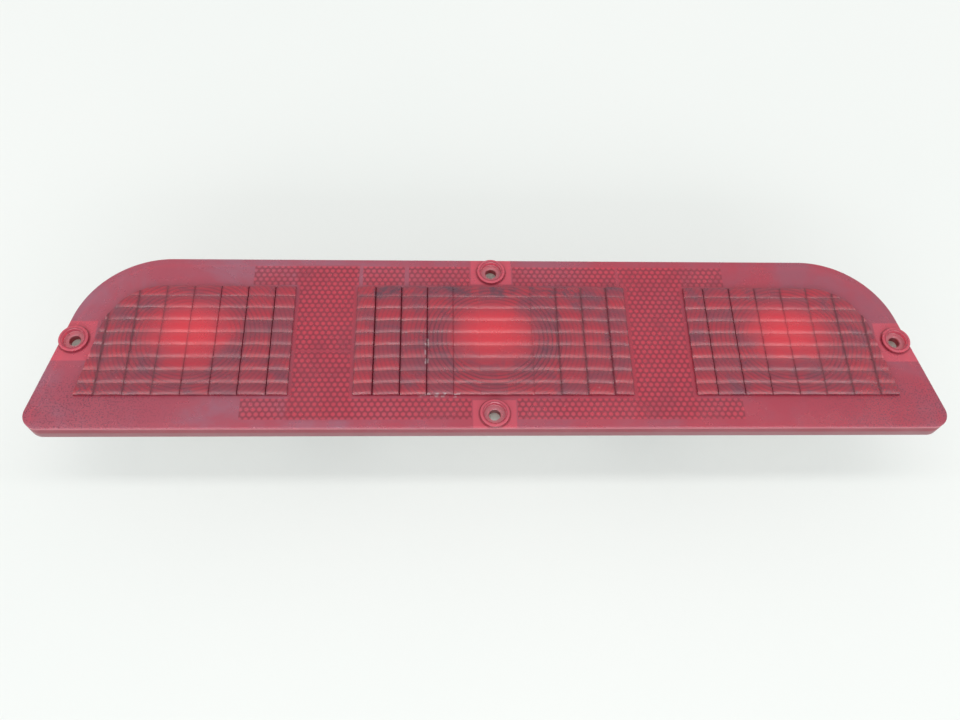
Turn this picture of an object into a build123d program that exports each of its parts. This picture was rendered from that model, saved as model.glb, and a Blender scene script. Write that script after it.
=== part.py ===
"""Third brake light: a long red moulded lens on a three-bulb lamp body.

Frame: X along the lamp, Y up the lens face (-Y is the long straight edge), +Z out of the lens.
Origin: centre of the outline, on the plane the lamp rests on when it lies on its back. Millimetres.
"""

import math
import os

from build123d import *

os.makedirs("parts", exist_ok=True)

# ---------------------------------------------------------------- driving dimensions
# heights of the stack, from the rear of the bulb holders (0) up
Z_FLOOR0 = 11.8        # rear face of the housing's pocket floors
FLOOR_T = 2.0          # pocket floor thickness
Z_BODY_GASKET = 32.0   # rear face of the mounting gasket, which meets the vehicle panel
BODY_GASKET_T = 2.0
FLANGE_T = 2.4         # housing flange
LENS_GASKET_T = 1.6
Z_FLANGE0 = Z_BODY_GASKET + BODY_GASKET_T     # 34.0
Z_FLANGE1 = Z_FLANGE0 + FLANGE_T              # 36.4
Z_RIM = Z_FLANGE1 + LENS_GASKET_T             # 38.0, the lens rim
LENS_H = 8.75          # rim to face
Z_FACE = Z_RIM + LENS_H                       # 46.75

# lens outline
Y_TOP = 40.2           # top straight edge
Y_BOT = -39.8          # bottom straight edge
SIDE_X0 = 177.9        # half width at y = 0, on the slanted side
SIDE_SLOPE = 0.256     # half width gained per mm downwards
R_TOP = 39.0           # top corner radius
R_BOT = 6.4            # bottom corner radius
SKIRT_T = 2.6          # wall of the rim
PLATE_T = 2.8          # thickness of the face
WINDOW_UP = 0.8        # how far the optic windows stand above the face
BLOCK_T = 4.4          # thickness of the clear blocks round the screw holes

# screw bosses of the lens
HOLE_R = 2.4
CBORE_R = 4.4
CBORE_DEPTH = 2.2
BOSS_R = 6.05
BOSS_UP = 1.3
BOSS_DOWN = 2.6        # how far the boss rings reach down past the face where they overhang the edge
BOSS_X = 172.4
BOSS_Y = 33.8

# optic windows
WIN_Y = 25.7           # half height
WIN_CX = 57.3          # half width of the centre window
WIN_IN = 83.5          # inner edge of the side windows
WIN_OUT = 168.0        # outer bottom corner of the side windows
ROWS = [-20.8, -14.86, -8.92, -2.97, 2.97, 8.92, 14.86, 20.8]
COLS_C = [-49.5, -38.5, -27.5, -16.5, -5.5, 5.5, 16.5, 27.5, 38.5, 49.5]
COLS_S = [92.0, 103.4, 114.7, 126.1, 137.4, 148.7, 160.0]
GROOVE_W = 0.5
GROOVE_D = 0.45

# reflex prism fields, moulded on the rear of the face
REFLEX_X = (58.6, 82.2)
REFLEX_Y = (-36.3, 36.6)
REFLEX_BAND_X = 102.0
REFLEX_T = 0.9

# bulb stations
OPTIC_Y = 1.0
STATIONS = {"left": -125.6, "centre": 0.0, "right": 125.6}

# bulb holder
NOSE_R = 10.0
PORT_CLEAR = 0.08      # radial running clearance of the nose in its port
HOLDER_R = 14.5
LUG_R = 12.4
LUG_W = 5.0
LOCK_ANGLE = 40.0      # from the locked place to the port's notches
HOOD_R, HOOD_IN = 9.5, 8.1
Z_HOOD = 7.0
Z_SEAT = 8.5           # inner floor of the holder
Z_GRIP = 10.5          # front face of the grip disc
Z_NOSE = 20.0

# small bayonet bulb, 9 mm cap
CAP_R = 4.5
SHELL_IN, SHELL_OUT = 4.9, 5.6
PIN_R = 0.75
Z_PLATE0, Z_PLATE1 = 12.5, 13.7
Z_PIN = 17.2
Z_CAP0, Z_CAP1 = 14.2, 23.2
GLASS_R, GLASS_T = 4.4, 0.7
Z_TIP = 36.4
PUSH = 1.5             # travel of the bulb against its spring


def save(shape, name):
    shape.label = name
    export_step(shape, f"parts/{name}.step")


def cyl(x, y, r, z0, z1):
    return Pos(x, y, z0) * Cylinder(r, z1 - z0, align=(Align.CENTER, Align.CENTER, Align.MIN))


def box(x0, x1, y0, y1, z0, z1):
    return Pos(x0, y0, z0) * Box(x1 - x0, y1 - y0, z1 - z0, align=(Align.MIN, Align.MIN, Align.MIN))


def tube(x, y, r1, r0, z0, z1):
    return cyl(x, y, r1, z0, z1) - cyl(x, y, r0, z0, z1)


# ---------------------------------------------------------------- lens outline
def outline(inset=0.0):
    """Face of the lens outline, moved inwards by inset."""
    tilt = math.atan(SIDE_SLOPE)
    yt, yb = Y_TOP - inset, Y_BOT + inset
    x0 = SIDE_X0 - inset / math.cos(tilt)
    xt, xb = x0 - SIDE_SLOPE * yt, x0 - SIDE_SLOPE * yb
    rt, rb = R_TOP - inset, max(R_BOT - inset, 1.0)
    tt = rt * math.tan((math.pi / 2 - tilt) / 2)
    tb = rb * math.tan((math.pi / 2 + tilt) / 2)
    s, c = math.sin(tilt), math.cos(tilt)

    def arc_mid(cx, cy, r, a):
        return (cx + r * math.cos(a), cy + r * math.sin(a))

    ct = (xt - tt, yt - rt)
    cb = (xb - tb, yb + rb)
    a0, a1 = math.pi / 2, tilt
    at = arc_mid(*ct, rt, (a0 + a1) / 2)
    ab = arc_mid(*cb, rb, (tilt - math.pi / 2) / 2)
    p = [
        (xt - tt, yt), (xt + tt * s, yt - tt * c),
        (xb - tb * s, yb + tb * c), (xb - tb, yb),
    ]

    def m(q):
        return (-q[0], q[1])

    edges = [
        Line(m(p[0]), p[0]), ThreePointArc(p[0], at, p[1]), Line(p[1], p[2]), ThreePointArc(p[2], ab, p[3]),
        Line(p[3], m(p[3])), ThreePointArc(m(p[3]), m(ab), m(p[2])), Line(m(p[2]), m(p[1])), ThreePointArc(m(p[1]), m(at), m(p[0])),
    ]
    return make_face(Wire(edges))


def side_window(grow=0.0):
    """Right-hand side window outline, grown outwards by about grow. The left one is its mirror."""
    g = grow
    pts = [(WIN_IN - g, -WIN_Y - g), (WIN_OUT + g * 1.2, -WIN_Y - g), (162.4 + g, 4.5 + g * 0.2)]
    mid = (155.4 + g * 0.75, 18.4 + g * 0.7)
    end = (139.5, WIN_Y + g)
    e = [
        Line(pts[0], pts[1]), Line(pts[1], pts[2]), ThreePointArc(pts[2], mid, end),
        Line(end, (WIN_IN - g, WIN_Y + g)), Line((WIN_IN - g, WIN_Y + g), pts[0]),
    ]
    return make_face(Wire(e))


def centre_window(grow=0.0):
    return Rectangle(2 * (WIN_CX + grow), 2 * (WIN_Y + grow)).face()


def up(face, z0, z1, taper=0.0):
    """Prism on a face from z0 to z1."""
    return extrude(Pos(0, 0, z0) * face, amount=z1 - z0, dir=(0, 0, 1), taper=taper)


BOSSES = [(-BOSS_X, 0.0), (BOSS_X, 0.0), (0.0, BOSS_Y), (0.0, -BOSS_Y)]

# ---------------------------------------------------------------- lens
lens = up(outline(), Z_RIM, Z_FACE)
lens = fillet(lens.faces().sort_by(Axis.Z)[-1].edges(), 0.9)
cavity = up(outline(SKIRT_T), Z_RIM - 1, Z_FACE - PLATE_T)
# clear blocks left round the screw holes
blocks = box(-9.0, 9.0, BOSS_Y - 6.3, 60, Z_FACE - BLOCK_T, Z_FACE)
blocks += box(-9.0, 9.0, -60, -BOSS_Y + 6.3, Z_FACE - BLOCK_T, Z_FACE)
blocks += box(164.0, 200, -10.0, 9.0, Z_FACE - BLOCK_T, Z_FACE) + box(-200, -164.0, -10.0, 9.0, Z_FACE - BLOCK_T, Z_FACE)
cavity -= blocks
lens -= cavity

win_c = up(centre_window(), Z_FACE - 1.0, Z_FACE + WINDOW_UP)
win_r = up(side_window(), Z_FACE - 1.0, Z_FACE + WINDOW_UP)
win_l = mirror(win_r, about=Plane.YZ)
grooves = []
zt = Z_FACE + WINDOW_UP
for y in ROWS:
    grooves.append(box(-200, 200, y - GROOVE_W / 2, y + GROOVE_W / 2, zt - GROOVE_D, zt + 1))
for x in COLS_C + COLS_S + [-v for v in COLS_S]:
    grooves.append(box(x - GROOVE_W / 2, x + GROOVE_W / 2, -60, 60, zt - GROOVE_D, zt + 1))
cut = Part() + grooves
windows = [w - cut for w in (win_c, win_r, win_l)]
for w in windows:
    lens += w

# reflex prism fields stand on the rear of the face, clear of the solid blocks
zr1 = Z_FACE - PLATE_T
fields = box(REFLEX_X[0], REFLEX_X[1], REFLEX_Y[0], REFLEX_Y[1], zr1 - REFLEX_T, zr1)
fields += box(-REFLEX_X[1], -REFLEX_X[0], REFLEX_Y[0], REFLEX_Y[1], zr1 - REFLEX_T, zr1)
for x0, x1 in ((9.0, REFLEX_BAND_X), (-REFLEX_BAND_X, -9.0)):
    fields += box(x0, x1, 27.2, REFLEX_Y[1], zr1 - REFLEX_T, zr1)
    fields += box(x0, x1, REFLEX_Y[0], -27.2, zr1 - REFLEX_T, zr1)
lens += fields

# rear bull's-eye optic behind each window
for x in STATIONS.values():
    for r in (22.0, 16.0, 10.0):
        lens += tube(x, OPTIC_Y, r, r - 1.6, zr1 - 0.8, zr1)

for x, y in BOSSES:
    lens += cyl(x, y, BOSS_R, Z_FACE - BOSS_DOWN, Z_FACE + BOSS_UP)
for x, y in BOSSES:
    lens -= cyl(x, y, HOLE_R, Z_RIM - 1, Z_FACE + BOSS_UP + 1)
    lens -= cyl(x, y, 3.6, Z_RIM - 1, Z_FACE - BLOCK_T)
    lens -= cyl(x, y, CBORE_R, Z_FACE + BOSS_UP - CBORE_DEPTH, Z_FACE + BOSS_UP + 1)
save(lens.solid(), "lens")

SLEEVE_R, SLEEVE_IN = 3.1, 2.5
EAR_R = 4.0            # rounded ears of the flange and lens gasket under the screw bosses

# ---------------------------------------------------------------- housing and reflectors
DRAFT = 20.0
WALL = 1.8
REFL_T = 1.0
REFL_GAP = 0.2
POCKET_TOP = Z_FLANGE1
Z_FLOOR1 = Z_FLOOR0 + FLOOR_T


def pocket(face_top, z_top, z_bot):
    """Drafted pocket body whose top face is at z_top, narrowing down to z_bot."""
    prism = extrude(Pos(0, 0, z_top) * face_top, amount=z_top - z_bot, dir=(0, 0, -1), taper=DRAFT)
    return prism


def side_pocket_face(grow):
    """Simpler six-sided outline round a side window, for the drafted pocket behind it."""
    g = grow
    pts = [
        (WIN_IN - g, -WIN_Y - g), (WIN_OUT + 0.8 * g, -WIN_Y - g), (162.9 + g, 5.5 + 0.3 * g),
        (155.8 + 0.8 * g, 18.8 + 0.7 * g), (142.8 + 0.3 * g, WIN_Y + g), (WIN_IN - g, WIN_Y + g),
    ]
    return fillet(make_face(Polyline(pts, close=True)).vertices(), 3.5)


def centre_pocket_face(grow):
    return fillet(Rectangle(2 * (WIN_CX + grow), 2 * (WIN_Y + grow)).vertices(), 3.5)


tan_d = math.tan(math.radians(DRAFT))
shapes = {
    "centre": lambda g: centre_pocket_face(g),
    "right": lambda g: side_pocket_face(g),
    "left": lambda g: mirror(side_pocket_face(g), about=Plane.YZ),
}
housing = up(outline(2.3), Z_FLANGE0, Z_FLANGE1)
for x, y in BOSSES:
    housing += cyl(x, y, EAR_R, Z_FLANGE0, Z_FLANGE1)
inner = {}
for name, f in shapes.items():
    # every face below is the pocket's outline at the flange top, so the walls share one draft
    housing += pocket(f(1.0 + WALL), POCKET_TOP, Z_FLOOR0)
for name, f in shapes.items():
    inner[name] = pocket(f(1.0), POCKET_TOP, Z_FLOOR1)
    housing -= inner[name]
# stiffening ribs behind the flange
for sx in (-1, 1):
    a, b = sorted((sx * 48.0, sx * 93.0))
    for y in (-13.0, 13.0):
        housing += box(a, b, y - 1.0, y + 1.0, 25.0, Z_FLANGE0) - pocket(centre_pocket_face(1.5), POCKET_TOP, Z_FLOOR0) - pocket(shapes["right" if sx > 0 else "left"](1.5), POCKET_TOP, Z_FLOOR0)
for name, x in STATIONS.items():
    # twist-lock port with two notches, in a thickened ring
    housing += tube(x, OPTIC_Y, 15.6, NOSE_R + PORT_CLEAR, Z_FLOOR0, Z_FLOOR1) - inner[name]
    housing -= cyl(x, OPTIC_Y, NOSE_R + PORT_CLEAR, Z_FLOOR0 - 1, Z_FLOOR1 + 1)
    housing -= box(x - LUG_R - 0.4, x + LUG_R + 0.4, OPTIC_Y - LUG_W / 2 - 0.4, OPTIC_Y + LUG_W / 2 + 0.4, Z_FLOOR0 - 1, Z_FLOOR1 + 1)
for x, y in BOSSES:
    housing -= cyl(x, y, SLEEVE_R, Z_FLANGE0 - 1, Z_FLANGE1 + 1)
save(housing.solid(), "housing")

for name, f in shapes.items():
    x = STATIONS[name]
    shell_out = pocket(f(1.0 - REFL_GAP), POCKET_TOP, Z_FLOOR1 + REFL_GAP)
    shell_in = pocket(f(1.0 - REFL_GAP - REFL_T), POCKET_TOP + 0.01, Z_FLOOR1 + REFL_GAP + REFL_T)
    lip = up(f(3.0), POCKET_TOP, POCKET_TOP + 0.8) - up(f(1.0 - REFL_GAP - REFL_T), POCKET_TOP - 1, POCKET_TOP + 2)
    refl = (shell_out - shell_in) + lip
    refl -= cyl(x, OPTIC_Y, LUG_R + 1.2, Z_FLOOR1 - 1, Z_FLOOR1 + 3)
    save(refl.solid(), f"reflector_{name}")

# ---------------------------------------------------------------- gaskets
def ring_gasket(z0, z1, inset, width, hole_r, clear, ears):
    """Flat ring along the outline with a pad round each screw hole, cut back from what it must clear."""
    g = up(outline(inset), z0, z1) - up(outline(inset + width), z0 - 1, z1 + 1)
    clip = up(outline(inset), z0, z1)
    for x, y in BOSSES:
        g += cyl(x, y, 8.0, z0, z1) & clip
        if ears:
            g += cyl(x, y, EAR_R, z0, z1)
    for solid in clear:
        g -= solid
    for x, y in BOSSES:
        g -= cyl(x, y, hole_r, z0 - 1, z1 + 1)
    return g.solid()


lips = [up(f(3.3), Z_FLANGE1 - 1, Z_RIM + 1) for f in shapes.values()]
tubs = [pocket(f(1.3 + WALL), POCKET_TOP, Z_FLOOR0) for f in shapes.values()]
save(ring_gasket(Z_FLANGE1, Z_RIM, 1.3, 5.4, SLEEVE_R, lips, True), "lens_gasket")
# the body gasket runs inside the screws, with open notches for them
save(ring_gasket(Z_BODY_GASKET, Z_FLANGE0, 3.6, 5.1, SLEEVE_R, tubs, False), "body_gasket")

# ---------------------------------------------------------------- screw sleeves
sleeves = [tube(x, y, SLEEVE_R, SLEEVE_IN, Z_FLANGE0, Z_FACE - BLOCK_T - 0.1) for x, y in BOSSES]
save(Compound(children=[s.solid() for s in sleeves]), "screw_sleeves")

# ---------------------------------------------------------------- bulb holders and bulbs
for name, x in STATIONS.items():
    y = OPTIC_Y
    # blades: live (with the spring's seat) and earth (touching the shell's lower edge)
    live = box(x - 2.4, x + 2.4, y + 1.6, y + 2.4, 1.0, Z_SEAT) + cyl(x, y, 3.3, Z_SEAT, Z_SEAT + 0.4)
    earth = box(x - 2.4, x + 2.4, y - 5.0, y - 4.2, 1.0, Z_SEAT + 0.5)
    blades = Compound(children=[live.solid(), earth.solid()])

    holder = tube(x, y, HOOD_R, HOOD_IN, 0.0, Z_HOOD)
    holder += cyl(x, y, HOLDER_R, Z_HOOD, Z_GRIP)
    holder += cyl(x, y, NOSE_R, Z_HOOD, Z_NOSE)
    for a in range(0, 360, 90):
        wing = Pos(x, y, 0) * (Rot(0, 0, a + 45) * box(HOOD_R - 0.6, HOLDER_R - 0.7, -1.4, 1.4, 1.5, Z_HOOD + 1))
        holder += wing
    for a in (0, 180):
        lug = Pos(x, y, 0) * (Rot(0, 0, a + LOCK_ANGLE) * box(NOSE_R - 1.0, LUG_R, -LUG_W / 2, LUG_W / 2, Z_FLOOR1 + 0.3, Z_FLOOR1 + 1.9))
        holder += lug
    holder -= cyl(x, y, SHELL_OUT, Z_SEAT, Z_NOSE + 1)
    holder -= box(x - 2.4, x + 2.4, y + 1.6, y + 2.4, Z_HOOD - 1, Z_SEAT + 0.1)
    holder -= box(x - 2.4, x + 2.4, y - 5.0, y - 4.2, Z_HOOD - 1, Z_SEAT + 0.1)
    save(holder.solid(), f"bulb_holder_{name}")
    save(blades, f"terminal_blades_{name}")

    save(tube(x, y, 13.5, 10.2, Z_GRIP, Z_FLOOR0 - 0.05).solid(), f"holder_seal_{name}")

    # bayonet shell: entry slot, cross run, and the seat the pin rests in
    shell = tube(x, y, SHELL_OUT, SHELL_IN, Z_SEAT + 0.5, Z_NOSE + 0.5)
    for a in (0, 180):
        entry = box(3.0, 7.0, -1.1, 1.1, 14.5, Z_NOSE + 2)
        seat = box(3.0, 7.0, -1.1, 1.1, 14.5, Z_PIN + PIN_R + 0.3)
        shell -= Pos(x, y, 0) * (Rot(0, 0, a + 90) * entry)
        for k in range(1, 4):
            run = box(3.0, 7.0, -1.1, 1.1, 14.5, 16.7)
            shell -= Pos(x, y, 0) * (Rot(0, 0, a + 90 - 8.0 * k) * run)
        shell -= Pos(x, y, 0) * (Rot(0, 0, a + 60) * seat)
    save(shell.solid(), f"socket_shell_{name}")

    # contact spring: plain coil between the live seat and the plate
    coil_r, wire_r = 3.0, 0.25
    z0, z1 = Z_SEAT + 0.4 + wire_r, Z_PLATE0 - wire_r
    turns = 3
    helix = Helix(pitch=(z1 - z0) / turns, height=z1 - z0, radius=coil_r, center=(x, y, z0))
    start = helix @ 0
    coil = sweep(Plane(origin=start, z_dir=helix % 0) * Circle(wire_r), path=helix, is_frenet=True)
    save(coil.solid(), f"contact_spring_{name}")

    plate = cyl(x, y, 4.4, Z_PLATE0, Z_PLATE1)
    plate = chamfer(plate.edges().sort_by(Axis.Z)[-1], 0.3)
    save(plate.solid(), f"contact_plate_{name}")

    cap = cyl(x, y, CAP_R, Z_CAP0, Z_CAP1) + cyl(x, y, 1.6, Z_PLATE1, Z_CAP0)
    for a in (60, 240):
        pin = Pos(x, y, Z_PIN) * (Rot(0, 0, a) * (Pos(CAP_R - 1.0, 0, 0) * (Rot(0, 90, 0) * Cylinder(PIN_R, 1.8, align=(Align.CENTER, Align.CENTER, Align.MIN)))))
        cap += pin
    cap -= cyl(x, y, 3.6, Z_CAP0 + 1.2, Z_CAP1 + 1)
    save(cap.solid(), f"bulb_cap_{name}")

    # glass: domed envelope with a neck cemented inside the cap
    prof = make_face(Wire([
        Line((0, Z_CAP1 - 5.0), (3.6, Z_CAP1 - 5.0)), Line((3.6, Z_CAP1 - 5.0), (3.6, Z_CAP1)), Line((3.6, Z_CAP1), (GLASS_R, Z_CAP1)),
        Line((GLASS_R, Z_CAP1), (GLASS_R, Z_TIP - GLASS_R)), ThreePointArc((GLASS_R, Z_TIP - GLASS_R), (GLASS_R * math.sin(math.pi / 4), Z_TIP - GLASS_R * (1 - math.cos(math.pi / 4))), (0, Z_TIP)),
        Line((0, Z_TIP), (0, Z_CAP1 - 5.0)),
    ]))
    gi = GLASS_R - GLASS_T
    prof_in = make_face(Wire([
        Line((0, Z_CAP1 - 3.4), (2.9, Z_CAP1 - 3.4)), Line((2.9, Z_CAP1 - 3.4), (2.9, Z_CAP1 + 0.7)), Line((2.9, Z_CAP1 + 0.7), (gi, Z_CAP1 + 0.7)),
        Line((gi, Z_CAP1 + 0.7), (gi, Z_TIP - GLASS_R)), ThreePointArc((gi, Z_TIP - GLASS_R), (gi * math.sin(math.pi / 4), Z_TIP - GLASS_R + gi * math.cos(math.pi / 4)), (0, Z_TIP - GLASS_T)),
        Line((0, Z_TIP - GLASS_T), (0, Z_CAP1 - 3.4)),
    ]))
    turn = Plane.XZ
    glass = revolve(turn * prof, Axis.Z) - revolve(turn * prof_in, Axis.Z)
    save((Pos(x, y, 0) * glass).solid(), f"bulb_glass_{name}")

    # filament: two supports standing in the glass foot, a bridge bead and the tungsten coil
    zf = Z_CAP1 - 3.4
    fil = cyl(x - 1.8, y, 0.22, zf, 30.0) + cyl(x + 1.8, y, 0.22, zf, 30.0)
    fil += box(x - 2.2, x + 2.2, y - 0.6, y + 0.6, 24.6, 25.8)
    fil += Pos(x - 2.0, y, 29.8) * (Rot(0, 90, 0) * Cylinder(0.35, 4.0, align=(Align.CENTER, Align.CENTER, Align.MIN)))
    save(fil.solid(), f"bulb_filament_{name}")

print("done")
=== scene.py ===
"""Looks of the third brake light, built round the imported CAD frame. Lengths in the makers below are in millimetres."""
import math

import bmesh
import bpy
import numpy as np
from mathutils import Matrix, Vector


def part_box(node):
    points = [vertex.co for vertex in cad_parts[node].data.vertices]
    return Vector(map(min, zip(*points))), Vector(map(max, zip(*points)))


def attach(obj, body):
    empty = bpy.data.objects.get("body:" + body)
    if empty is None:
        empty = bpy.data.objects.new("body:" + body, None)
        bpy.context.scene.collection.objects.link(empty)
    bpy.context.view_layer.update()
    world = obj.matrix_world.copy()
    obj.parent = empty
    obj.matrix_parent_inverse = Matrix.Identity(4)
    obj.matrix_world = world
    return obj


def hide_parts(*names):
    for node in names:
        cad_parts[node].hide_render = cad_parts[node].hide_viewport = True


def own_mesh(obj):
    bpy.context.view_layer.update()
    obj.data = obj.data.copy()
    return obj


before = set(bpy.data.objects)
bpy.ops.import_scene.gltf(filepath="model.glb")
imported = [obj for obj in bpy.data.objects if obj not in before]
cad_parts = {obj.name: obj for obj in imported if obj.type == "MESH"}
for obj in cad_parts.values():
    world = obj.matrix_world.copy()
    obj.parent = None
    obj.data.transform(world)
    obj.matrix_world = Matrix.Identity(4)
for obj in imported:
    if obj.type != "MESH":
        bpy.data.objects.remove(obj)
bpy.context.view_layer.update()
scene = bpy.context.scene
MM = 0.001

# ------------------------------------------------------------------ camera, floor, light
LENS_LO, LENS_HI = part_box("lens")
Z_RIM = LENS_LO.z / MM
Z_TOPS = LENS_HI.z / MM
Z_FACE = Z_TOPS - 1.3


def make_camera():
    pitch, yaw, roll = (math.radians(a) for a in (62.0858, 5.3378, 4.7866))
    look = Vector((math.sin(yaw) * math.cos(pitch), math.cos(yaw) * math.cos(pitch), -math.sin(pitch)))
    right = Vector((math.cos(yaw), -math.sin(yaw), 0.0))
    upv = right.cross(look)
    r2 = math.cos(roll) * right + math.sin(roll) * upv
    u2 = -math.sin(roll) * right + math.cos(roll) * upv
    cam = bpy.data.cameras.new("camera")
    cam.sensor_width = 36.0
    cam.lens = 904.85 * 36.0 / 960.0
    cam.clip_start, cam.clip_end = 0.01, 50.0
    obj = bpy.data.objects.new("camera", cam)
    scene.collection.objects.link(obj)
    m = Matrix((r2, u2, -look)).transposed().to_4x4()
    m.translation = Vector((-0.0218563, -0.1840932, 0.3400541 + Z_RIM * MM))
    obj.matrix_world = m
    scene.camera = obj
    return obj


make_camera()
scene.view_settings.view_transform = "Standard"
scene.view_settings.look = "None"
scene.view_settings.exposure = 0.0
scene.view_settings.gamma = 1.0

world = bpy.data.worlds.new("studio")
scene.world = world
world.use_nodes = True
wt = world.node_tree
bg = wt.nodes["Background"]
wtc = wt.nodes.new("ShaderNodeTexCoord")
wsep = wt.nodes.new("ShaderNodeSeparateXYZ")
wramp = wt.nodes.new("ShaderNodeValToRGB")
wt.links.new(wtc.outputs["Generated"], wsep.inputs["Vector"])
wt.links.new(wsep.outputs["Z"], wramp.inputs["Fac"])
wt.links.new(wramp.outputs["Color"], bg.inputs["Color"])
for k, (pos, v) in enumerate(((0.0, 1.0), (0.35, 0.96), (0.75, 0.58), (1.0, 0.52))):
    if k >= 2:
        wramp.color_ramp.elements.new(pos)
    e = wramp.color_ramp.elements[k]
    e.position = pos
    e.color = (0.975 * v, 1.0 * v, 0.985 * v, 1.0)
bg.inputs["Strength"].default_value = 1.22


def area(name, loc, target, size, power, color=(1, 1, 1), size_y=None):
    light = bpy.data.lights.new(name, "AREA")
    light.energy = power
    light.color = color
    light.shape = "RECTANGLE" if size_y else "SQUARE"
    light.size = size
    if size_y:
        light.size_y = size_y
    obj = bpy.data.objects.new(name, light)
    obj.location = loc
    obj.rotation_mode = "QUATERNION"
    obj.rotation_quaternion = (Vector(target) - Vector(loc)).to_track_quat("-Z", "Y")
    scene.collection.objects.link(obj)
    return obj


area("strip_top", (0.05, 0.10, 1.5), (0.05, 0.0, 0.04), 2.8, 9.0, (1.0, 0.99, 0.97), size_y=0.20)
area("soft_front", (0.0, -1.6, 0.75), (0, 0, 0.0), 2.2, 17.0, (0.97, 0.99, 1.0), size_y=0.7)


# ------------------------------------------------------------------ node helpers
def new_mat(name):
    m = bpy.data.materials.new(name)
    m.use_nodes = True
    nt = m.node_tree
    return m, nt, nt.nodes["Principled BSDF"]


def node(nt, kind, **kw):
    n = nt.nodes.new(kind)
    for k, v in kw.items():
        if k.startswith("in_"):
            n.inputs[k[3:].replace("_", " ")].default_value = v
        else:
            setattr(n, k, v)
    return n


def ramp(nt, src, stops, interp="LINEAR"):
    r = nt.nodes.new("ShaderNodeValToRGB")
    r.color_ramp.interpolation = interp
    els = r.color_ramp.elements
    while len(els) < len(stops):
        els.new(0.5)
    for e, (p, c) in zip(els, stops):
        e.position = p
        e.color = c if len(c) == 4 else (*c, 1.0)
    nt.links.new(src, r.inputs["Fac"])
    return r.outputs["Color"]


def noise(nt, vec, scale, detail=4.0, rough=0.55, dist=0.0):
    n = nt.nodes.new("ShaderNodeTexNoise")
    n.inputs["Scale"].default_value = scale
    n.inputs["Detail"].default_value = detail
    n.inputs["Roughness"].default_value = rough
    n.inputs["Distortion"].default_value = dist
    nt.links.new(vec, n.inputs["Vector"])
    return n.outputs["Fac"]


def coords(nt, scale=(1, 1, 1), loc=(0, 0, 0)):
    tc = nt.nodes.new("ShaderNodeTexCoord")
    mp = nt.nodes.new("ShaderNodeMapping")
    mp.inputs["Scale"].default_value = scale
    mp.inputs["Location"].default_value = loc
    nt.links.new(tc.outputs["Object"], mp.inputs["Vector"])
    return mp.outputs["Vector"]


def math_node(nt, op, a, b=None, c=None, clamp=False):
    n = nt.nodes.new("ShaderNodeMath")
    n.operation = op
    n.use_clamp = clamp
    for i, v in enumerate((a, b, c)):
        if v is None:
            continue
        if isinstance(v, (int, float)):
            n.inputs[i].default_value = v
        else:
            nt.links.new(v, n.inputs[i])
    return n.outputs[0]


def mix_color(nt, fac, a, b, blend="MIX"):
    n = nt.nodes.new("ShaderNodeMix")
    n.data_type = "RGBA"
    n.blend_type = blend
    for sock, v in ((n.inputs["Factor"], fac), (n.inputs[6], a), (n.inputs[7], b)):
        if isinstance(v, (int, float)):
            sock.default_value = v
        elif isinstance(v, tuple):
            sock.default_value = v if len(v) == 4 else (*v, 1.0)
        else:
            nt.links.new(v, sock)
    return n.outputs[2]


def smooth_range(nt, v, lo, hi, a=0.0, b=1.0):
    n = nt.nodes.new("ShaderNodeMapRange")
    n.interpolation_type = "SMOOTHSTEP"
    nt.links.new(v, n.inputs["Value"])
    for k, x in (("From Min", lo), ("From Max", hi), ("To Min", a), ("To Max", b)):
        n.inputs[k].default_value = x
    return n.outputs["Result"]


def bump(nt, bsdf, height, strength=0.3, dist=0.0002):
    b = nt.nodes.new("ShaderNodeBump")
    b.inputs["Strength"].default_value = strength
    b.inputs["Distance"].default_value = dist
    nt.links.new(height, b.inputs["Height"])
    nt.links.new(b.outputs["Normal"], bsdf.inputs["Normal"])


def xyz(nt, vec):
    s = nt.nodes.new("ShaderNodeSeparateXYZ")
    nt.links.new(vec, s.inputs["Vector"])
    return s.outputs


# ------------------------------------------------------------------ floor
def make_floor():
    me = bpy.data.meshes.new("floor")
    s = 4.0
    me.from_pydata([(-s, -s, 0), (s, -s, 0), (s, s, 0), (-s, s, 0)], [], [(0, 1, 2, 3)])
    o = bpy.data.objects.new("floor", me)
    scene.collection.objects.link(o)
    m, nt, b = new_mat("floor_pale")
    n = noise(nt, coords(nt), 3.0, 3.0)
    nt.links.new(ramp(nt, n, [(0.3, (0.485, 0.50, 0.49)), (0.7, (0.505, 0.515, 0.505))]), b.inputs["Base Color"])
    b.inputs["Roughness"].default_value = 0.62
    b.inputs["Emission Color"].default_value = (0.985, 1.0, 0.985, 1.0)
    b.inputs["Emission Strength"].default_value = 0.30
    me.materials.append(m)


make_floor()


# ------------------------------------------------------------------ mesh helpers
SOIL = [bpy.data.materials.new(f"soil_{k}") for k in range(4)]      # clear, groove, ring flank, prism outline
# how much each slot is darkened: dirt, partly painted shade
SOIL_LEVEL = [0.0, 0.72, 0.60, 0.60]


def make_obj(name, verts, faces, slots=None):
    me = bpy.data.meshes.new(name)
    me.from_pydata([tuple(v) for v in verts], [], [tuple(int(i) for i in f) for f in faces])
    for m in SOIL:
        me.materials.append(m)
    if slots is not None:
        me.polygons.foreach_set("material_index", [int(s) for s in slots] if hasattr(slots, "__len__") else [slots] * len(faces))
    me.update()
    o = bpy.data.objects.new(name, me)
    scene.collection.objects.link(o)
    return o


def fix_normals(o):
    bm = bmesh.new()
    bm.from_mesh(o.data)
    bmesh.ops.recalc_face_normals(bm, faces=bm.faces)
    bm.to_mesh(o.data)
    bm.free()


def drop(o):
    me = o.data
    bpy.data.objects.remove(o)
    if me.users == 0:
        bpy.data.meshes.remove(me)


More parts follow.
